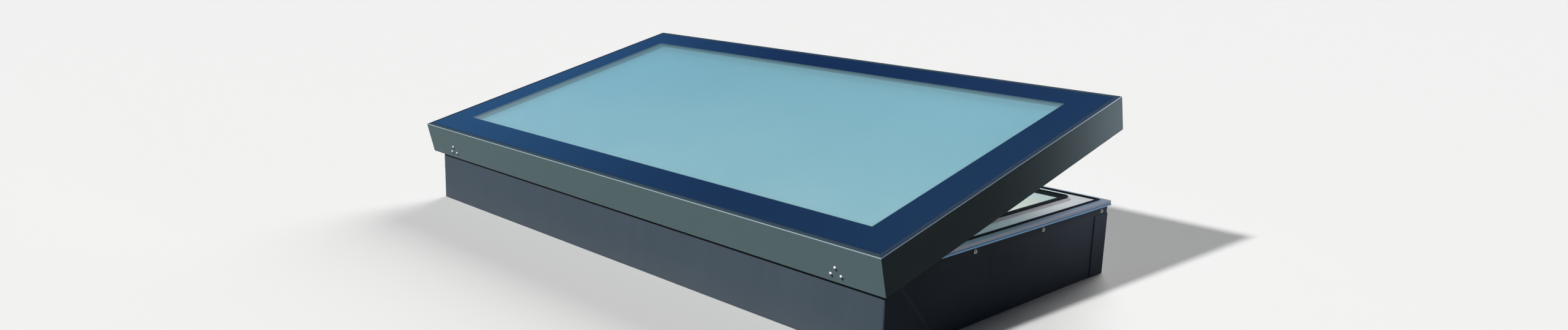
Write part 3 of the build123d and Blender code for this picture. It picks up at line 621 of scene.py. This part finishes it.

# Lid skirt: folded aluminium sheet, powder coated dark grey-green, mitred at the corners. The
# coat has a fine orange peel. A pale line is painted along the rounded upper edge: a painted
# highlight. The flat rim inside that edge is darker, and bluer at the two ends.
lid_joint = frame["joints"][0]
hinge = Vector(lid_joint["pos_m"])
lid_turn = math.radians(-lid_joint["range_deg"][0])
lid_top = 0.310
lid_length = 2.320
lid_depth = 1.240
lid_middle = kerb_middle.y
rounding = 0.0018
edge_highlight_depth = 0.0027
lid_forward = Vector((0, -math.cos(lid_turn), -math.sin(lid_turn)))


def shut_place(finish):
    """A point of the lid as it lies when the lid is shut."""
    return finish.node(
        "ShaderNodeVectorRotate",
        {"rotation_type": "X_AXIS"},
        {"Vector": finish.place, "Center": hinge, "Angle": -lid_turn},
    )


def from_lid_edge(finish, shut):
    """Distances in from the lid's ends and from its long sides."""
    ends = lid_length / 2 - abs(finish.axis("X", shut))
    long_sides = lid_depth / 2 - abs(finish.axis("Y", shut) - lid_middle)
    return ends, long_sides


powder = Finish("powder_coat", Specular_IOR_Level=0.1)
shut = shut_place(powder)
ends, long_sides = from_lid_edge(powder, shut)
peel = powder.grain(1400, 2)
haze = powder.grain(3, 4, roughness=0.6)
shut_height = powder.axis("Z", shut)
past_rounding = powder.sum_of("MINIMUM", ends, long_sides).above(rounding, 0.0010)
# Pale line on the rounded upper edge: painted highlight.
painted_edge_highlight = shut_height.above(lid_top - edge_highlight_depth, 0.0014) * (1 - past_rounding)
flat_rim = shut_height.above(lid_top - 0.0010, 0.0006) * past_rounding

# A dark patch is painted a little below and to the right of each rivet: the rivet's painted
# shadow.
rivet_height = 0.0026
rivet_shadow_radius = 0.0047
rivet_shadow_offset = Vector((0.0046, 0, -0.0060))
rivet_seats = list(fastener_seats("rivets", rivet_height, lid_forward))
unturn = Matrix.Rotation(-lid_turn, 3, "X")
rivet_shadows = None
for seat, way in rivet_seats:
    shadow_centre = unturn @ (seat - hinge) + hinge + rivet_shadow_offset
    distance = powder.node(
        "ShaderNodeVectorMath", {"operation": "DISTANCE"}, {0: shut, 1: shadow_centre}, output="Value"
    )
    # Dark patch below and right of each rivet: painted shadow.
    rivet_shadow = 1 - distance.above(rivet_shadow_radius, 0.0040)
    rivet_shadows = rivet_shadow if rivet_shadows is None else powder.sum_of("MAXIMUM", rivet_shadows, rivet_shadow)
coated = powder.mix(haze, colour(83, 102, 105), colour(89, 108, 111))
at_ends = (long_sides - ends).above(0, 0.002)
# The flat rim is darker, and bluer at the two ends.
rim_tone = powder.mix(at_ends, colour(50, 64, 72), colour(28, 44, 70))
edged = powder.mix(flat_rim * 0.9, coated, rim_tone)
edged = powder.mix(painted_edge_highlight * 0.9, edged, colour(158, 176, 182))
powder.wear(
    Base_Color=powder.mix(rivet_shadows * 0.85, edged, colour(20, 24, 26)),
    Roughness=0.48 + 0.12 * haze + 0.05 * peel - 0.1 * painted_edge_highlight,
)
powder.relief(peel, 0.00012)
powder.coat(*(f"skirt_{side}" for side in SIDES))

# Sash: two-chamber aluminium profiles under the glass, natural anodised, with the corner cleats
# that hold their mitres.
for side in SIDES:
    anodised = Finish(f"anodised_sash_{side}", Metallic=0.85)
    lines = anodised.grain(30, 2, lengthwise[side])
    anodised.wear(
        Base_Color=anodised.mix(lines, colour(176, 178, 180), colour(194, 195, 197)),
        Roughness=0.34 + 0.1 * lines,
    )
    anodised.relief(lines, 0.0001)
    anodised.coat(f"sash_{side}")
anodised.coat("sash_cleats")

# Outer pane: clear toughened glass, enamelled deep blue-black on its underside round the edge,
# with a painted reflection of the sky in that blue. The enamel's inner outline is square-cornered,
# with a thin duller line painted along it: the border's painted shadow. Dust settles towards the
# lower side of the lid.
enamel_ends = 0.1352
enamel_sides = 0.1286
border_shadow_width = 0.004
glass = Finish("enamelled_glass", IOR=1.5)
shut = shut_place(glass)
ends, long_sides = from_lid_edge(glass, shut)
film = glass.grain(3, 5, roughness=0.6)
settled_dust = (1 - glass.axis("Y", shut).above(lid_middle - 0.15, 1.1)) * (0.35 + 0.65 * film)


def inside_enamel(margin):
    """1 where the pane lies further than the margin inside the enamel's outline."""
    softness = 0.003
    past_ends = ends.above(enamel_ends + margin, softness)
    past_sides = long_sides.above(enamel_sides + margin, softness)
    return past_ends * past_sides


clear = inside_enamel(0)
# Thin line inside the enamel's outline: painted shadow of the border.
painted_border_shadow = clear * (1 - inside_enamel(border_shadow_width))
# Part of the enamel's blue is a painted reflection of the sky.
enamel = glass.mix(film, colour(9, 22, 52), colour(14, 30, 64))
dusty = glass.mix(settled_dust * 0.5, colour(150, 194, 206), colour(212, 228, 224))
glass.wear(
    Base_Color=glass.mix(painted_border_shadow * 0.2, glass.mix(clear, enamel, dusty), colour(104, 118, 116)),
    Roughness=0.04 + 0.05 * film,
    Alpha=1 - 0.7 * clear,
)
glass.coat("outer_pane")

# Inner pane: laminated glass with a milky interlayer, which gives the pale aqua of the middle.
opal = Finish("opal_glass", Roughness=0.25, IOR=1.5)
veil = opal.grain(1.5, 5, roughness=0.58)
opal.wear(Base_Color=opal.mix(veil, colour(136, 203, 214), colour(160, 221, 229)))
opal.coat("inner_pane")

# Edge of the glass unit: a bright folded spacer bar, black sealant round it, and the foam tape
# and weather joint that bed the unit in the lid.
spacer = Finish("spacer_bar", Metallic=0.9, Roughness=0.3)
scuffs = spacer.grain(60, 2)
spacer.wear(Base_Color=spacer.mix(scuffs, colour(150, 152, 156), colour(176, 178, 182)))
spacer.coat("glass_spacer")
sealant = Finish("dark_sealant", Specular_IOR_Level=0.3)
tooling = sealant.grain(45, 3)
sealant.wear(
    Base_Color=sealant.mix(tooling, colour(30, 44, 58), colour(46, 62, 74)),
    Roughness=0.42 + 0.25 * tooling,
)
sealant.relief(tooling, 0.0006)
sealant.coat("glass_edge_seal", "glazing_tape", "weather_joint")

# Hinge leaves and brackets: folded steel plate, zinc plated after bending, with drawn lines.
plate = Finish("plated_steel", Metallic=0.85)
drawn = plate.grain(60, 2, (1, 8, 8))
cloudy = plate.grain(25, 4)
spangle = drawn * 0.4 + cloudy * 0.6
plate.wear(
    Base_Color=plate.mix(spangle, colour(140, 143, 148), colour(178, 180, 182)),
    Roughness=0.34 + 0.2 * cloudy,
)
plate.relief(drawn, 0.0001)
plate.coat(
    "hinge_fixed_leaf_left", "hinge_fixed_leaf_right",
    "hinge_moving_leaf_left", "hinge_moving_leaf_right",
    "actuator_bracket_left", "actuator_bracket_right", "lid_bracket",
)
zinc.coat("hinge_pins", "actuator_pins", "lid_bracket_pin")

# Rivets: blind rivets of bright aluminium that hold the hinge leaves to the skirt, each with its
# broken-off mandrel in the dome. The lower right side of each dome is painted dark: painted shade.
dome_radius = 0.0046
dome_steps = 9
sphere = (dome_radius**2 + rivet_height**2) / (2 * rivet_height)
recess_radius = 0.0013
recess_depth = 0.0007
# The dome's side that faces this way is painted dark: painted shade.
shaded_side = Vector((0.52, -0.30, -0.80))
tail = [
    (0, -0.0110, 0), (0.0022, -0.0110, 0), (0.0031, -0.0100, 0), (0.0032, -0.0068, 0),
    (0.0030, -0.0060, 0), (0.0024, -0.0060, 0), (0.0024, 0, 0), (dome_radius, 0, 0),
]
dome = [
    (radius, rivet_height - sphere + math.sqrt(sphere**2 - radius**2), 0)
    for radius in (dome_radius * (1 - step / dome_steps) for step in range(1, 7))
]
mandrel = [
    (recess_radius, rivet_height - 0.0001, 0),
    (recess_radius * 0.94, rivet_height - recess_depth, 0),
    (recess_radius * 0.7, rivet_height - recess_depth, 0),
    (recess_radius * 0.66, rivet_height - 0.0003, 0),
    (0, rivet_height - 0.0002, 0),
]
shape = bmesh.new()
for seat, way in rivet_seats:
    turned(shape, tail + [(dome_radius, 0.0002, 0)] + dome + mandrel, seat, way)
rivets = made_piece("blind_rivets", shape)
bright = Finish("bright_aluminium", Metallic=0.2)
facing = bright.node(
    "ShaderNodeVectorMath",
    {"operation": "DOT_PRODUCT"},
    {0: bright.node("ShaderNodeTexCoord", output="Normal"), 1: shaded_side},
    output="Value",
)
scuffs = bright.grain(700, 2)
metal = bright.mix(scuffs, colour(234, 236, 238), colour(248, 249, 250))
bright.wear(
    Base_Color=bright.mix(facing.above(0.80, 0.2), metal, colour(52, 60, 64)),
    Roughness=0.34 + 0.14 * scuffs,
)
rivets.data.materials.append(bright.material)
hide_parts("rivets")
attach(rivets, "lid")

# Screws of the hinges and brackets: flatter zinc-plated heads with the same six-lobed drive.
flat_head = 0.0020
flat_radius = 0.0042
forward = Vector((0, -1, 0))


def flat_screw(length):
    """The profile of a flat-headed screw of that length under its head."""
    return [
        (0, -length, 0), (shank_radius, -length + point_length, 0), (shank_radius, 0, 0),
        (flat_radius, 0, 0), (flat_radius, 0.0010, 0), (0.0038, 0.0016, 0), (0.0032, 0.0019, 0),
        *drive(flat_head, 0.0013),
    ]


screws("hinge_screws", "kerb", flat_head, flat_screw(0.026), forward)
screws("bracket_screws", "kerb", flat_head, flat_screw(0.020), forward)
screws("lid_bracket_screws", "lid", flat_head, flat_screw(0.008), lid_forward)

# Actuator: an extruded aluminium case with plastic end caps and cable gland, and its push chain
# of stamped steel links, which runs back into the case as the lid shuts.
case = Finish("anodised_case", Metallic=0.85)
lines = case.grain(40, 2, lengthwise["back"])
case.wear(
    Base_Color=case.mix(lines, colour(150, 152, 155), colour(172, 174, 177)),
    Roughness=0.32 + 0.12 * lines,
)
case.coat("actuator_housing")
moulded = Finish("moulded_plastic")
texture = moulded.grain(900, 2)
moulded.wear(
    Base_Color=moulded.mix(moulded.grain(20, 3), colour(30, 31, 33), colour(40, 41, 43)),
    Roughness=0.4 + 0.15 * texture,
)
moulded.relief(texture, 0.0002)
moulded.coat("actuator_end_cap_left", "actuator_end_cap_right", "cable_gland")
links = Finish("chain_steel", Metallic=0.9)
oil = links.grain(120, 3)
links.wear(
    Base_Color=links.mix(oil, colour(96, 97, 100), colour(140, 141, 144)),
    Roughness=0.28 + 0.3 * oil,
)
links.coat("chain")
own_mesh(nodes["chain"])

# Stage: a plain pale floor, which keeps its tone in the background while it bounces less light
# than it shows, and the soft studio lamps. The room light shines up through the opening.
floor_mesh = bpy.data.meshes.new("floor")
floor_reach = 40.0
corners = [(x * floor_reach, y * floor_reach, 0) for x, y in ((-1, -1), (1, -1), (1, 1), (-1, 1))]
floor_mesh.from_pydata(corners, [], [(0, 1, 2, 3)])
floor = bpy.data.objects.new("floor", floor_mesh)
bpy.context.scene.collection.objects.link(floor)
paving = Finish("pale_floor", Roughness=0.9, Specular_IOR_Level=0.1)
bounced = paving.node("ShaderNodeLightPath", output="Is Diffuse Ray")
paving.wear(Base_Color=paving.mix(bounced, colour(238, 238, 236), colour(40, 37, 36)))
floor_mesh.materials.append(paving.material)


def soft_sun(name, azimuth, elevation, strength, spread):
    """A distant lamp with soft shadows. A wide one is kept out of gloss, where its disc shows."""
    widest_in_gloss = 10
    lamp = bpy.data.lights.new(name, "SUN")
    lamp.energy = strength
    lamp.angle = math.radians(spread)
    holder = bpy.data.objects.new(name, lamp)
    bpy.context.scene.collection.objects.link(holder)
    holder.rotation_euler = (math.radians(90 - elevation), 0, math.radians(azimuth))
    holder.visible_glossy = spread < widest_in_gloss


def soft_box(name, at, towards, size, power, beam, tint=(1, 1, 1)):
    """A lamp with a flat glowing face, out of sight of the camera."""
    lamp = bpy.data.lights.new(name, "AREA")
    lamp.energy = power
    lamp.spread = math.radians(beam)
    lamp.color = tint
    lamp.shape = "RECTANGLE"
    lamp.size, lamp.size_y = size
    holder = bpy.data.objects.new(name, lamp)
    bpy.context.scene.collection.objects.link(holder)
    holder.location = at
    holder.rotation_euler = (Vector(towards) - Vector(at)).to_track_quat("-Z", "Y").to_euler()
    holder.visible_camera = False
    holder.visible_glossy = False


soft_sun("key", -8, 33, 3.7, 3)
soft_sun("back_fill", 200, 30, 2.4, 40)
soft_box(
    "end_fill",
    at=(2.3, 1.8, 0.9),
    towards=(1.16, 1.22, 0.58),
    size=(0.5, 0.3),
    power=1.25,
    beam=36,
    tint=(1.0, 0.86, 0.9),
)
soft_box(
    "room_light",
    at=(0, kerb_middle.y, 0.03),
    towards=(0, kerb_middle.y, 1),
    size=(1.9, 0.84),
    power=9,
    beam=180,
)

# Surroundings: a pale backdrop for the camera and, for gloss, a sky that is pale at the horizon,
# deep blue above it and lighter overhead. Little of it lights the surfaces: the lamps do that.
pale = (0.80, 0.80, 0.79, 1)
deep_blue = (0.03, 0.09, 0.24, 1)
light_blue = (0.11, 0.33, 0.62, 1)
left_blue = (0.095, 0.33, 0.70, 1)
ambient = (0.024, 0.021, 0.024, 1)
world = bpy.data.worlds.new("studio")
bpy.context.scene.world = world
world.use_nodes = True
air = Nodes(world.node_tree)
backdrop = air.tree.nodes["Background"]
direction = air.node("ShaderNodeTexCoord", output="Generated")
upwards = air.axis("Z", direction)
sky = air.mix(upwards.above(0.56, 0.24), deep_blue, light_blue)
sky = air.mix(air.axis("X", direction).above(-0.77, 0.22), left_blue, sky)
mirrored = air.mix(upwards.above(0.14, 0.2), pale, sky)
seen = air.mix(air.node("ShaderNodeLightPath", output="Is Camera Ray"), mirrored, pale)
bounce = air.node("ShaderNodeLightPath", output="Is Diffuse Ray")
air.join(air.mix(bounce, seen, ambient), backdrop.inputs["Color"])

# Camera: the picture's viewpoint, off the front right corner and a little above the lid.
camera_data = bpy.data.cameras.new("camera")
camera_data.sensor_width = 36.0
camera_data.lens = 24.813
camera = bpy.data.objects.new("camera", camera_data)
bpy.context.scene.collection.objects.link(camera)
yaw, pitch, roll = (math.radians(angle) for angle in (43.899, 12.238, 2.0))
camera.matrix_world = (
    Matrix.Translation((2.78303, -2.12157, 1.09686))
    @ Matrix.Rotation(yaw, 4, "Z")
    @ Matrix.Rotation(math.pi / 2 - pitch, 4, "X")
    @ Matrix.Rotation(roll, 4, "Z")
)
bpy.context.scene.camera = camera
bpy.context.scene.view_settings.view_transform = "Standard"
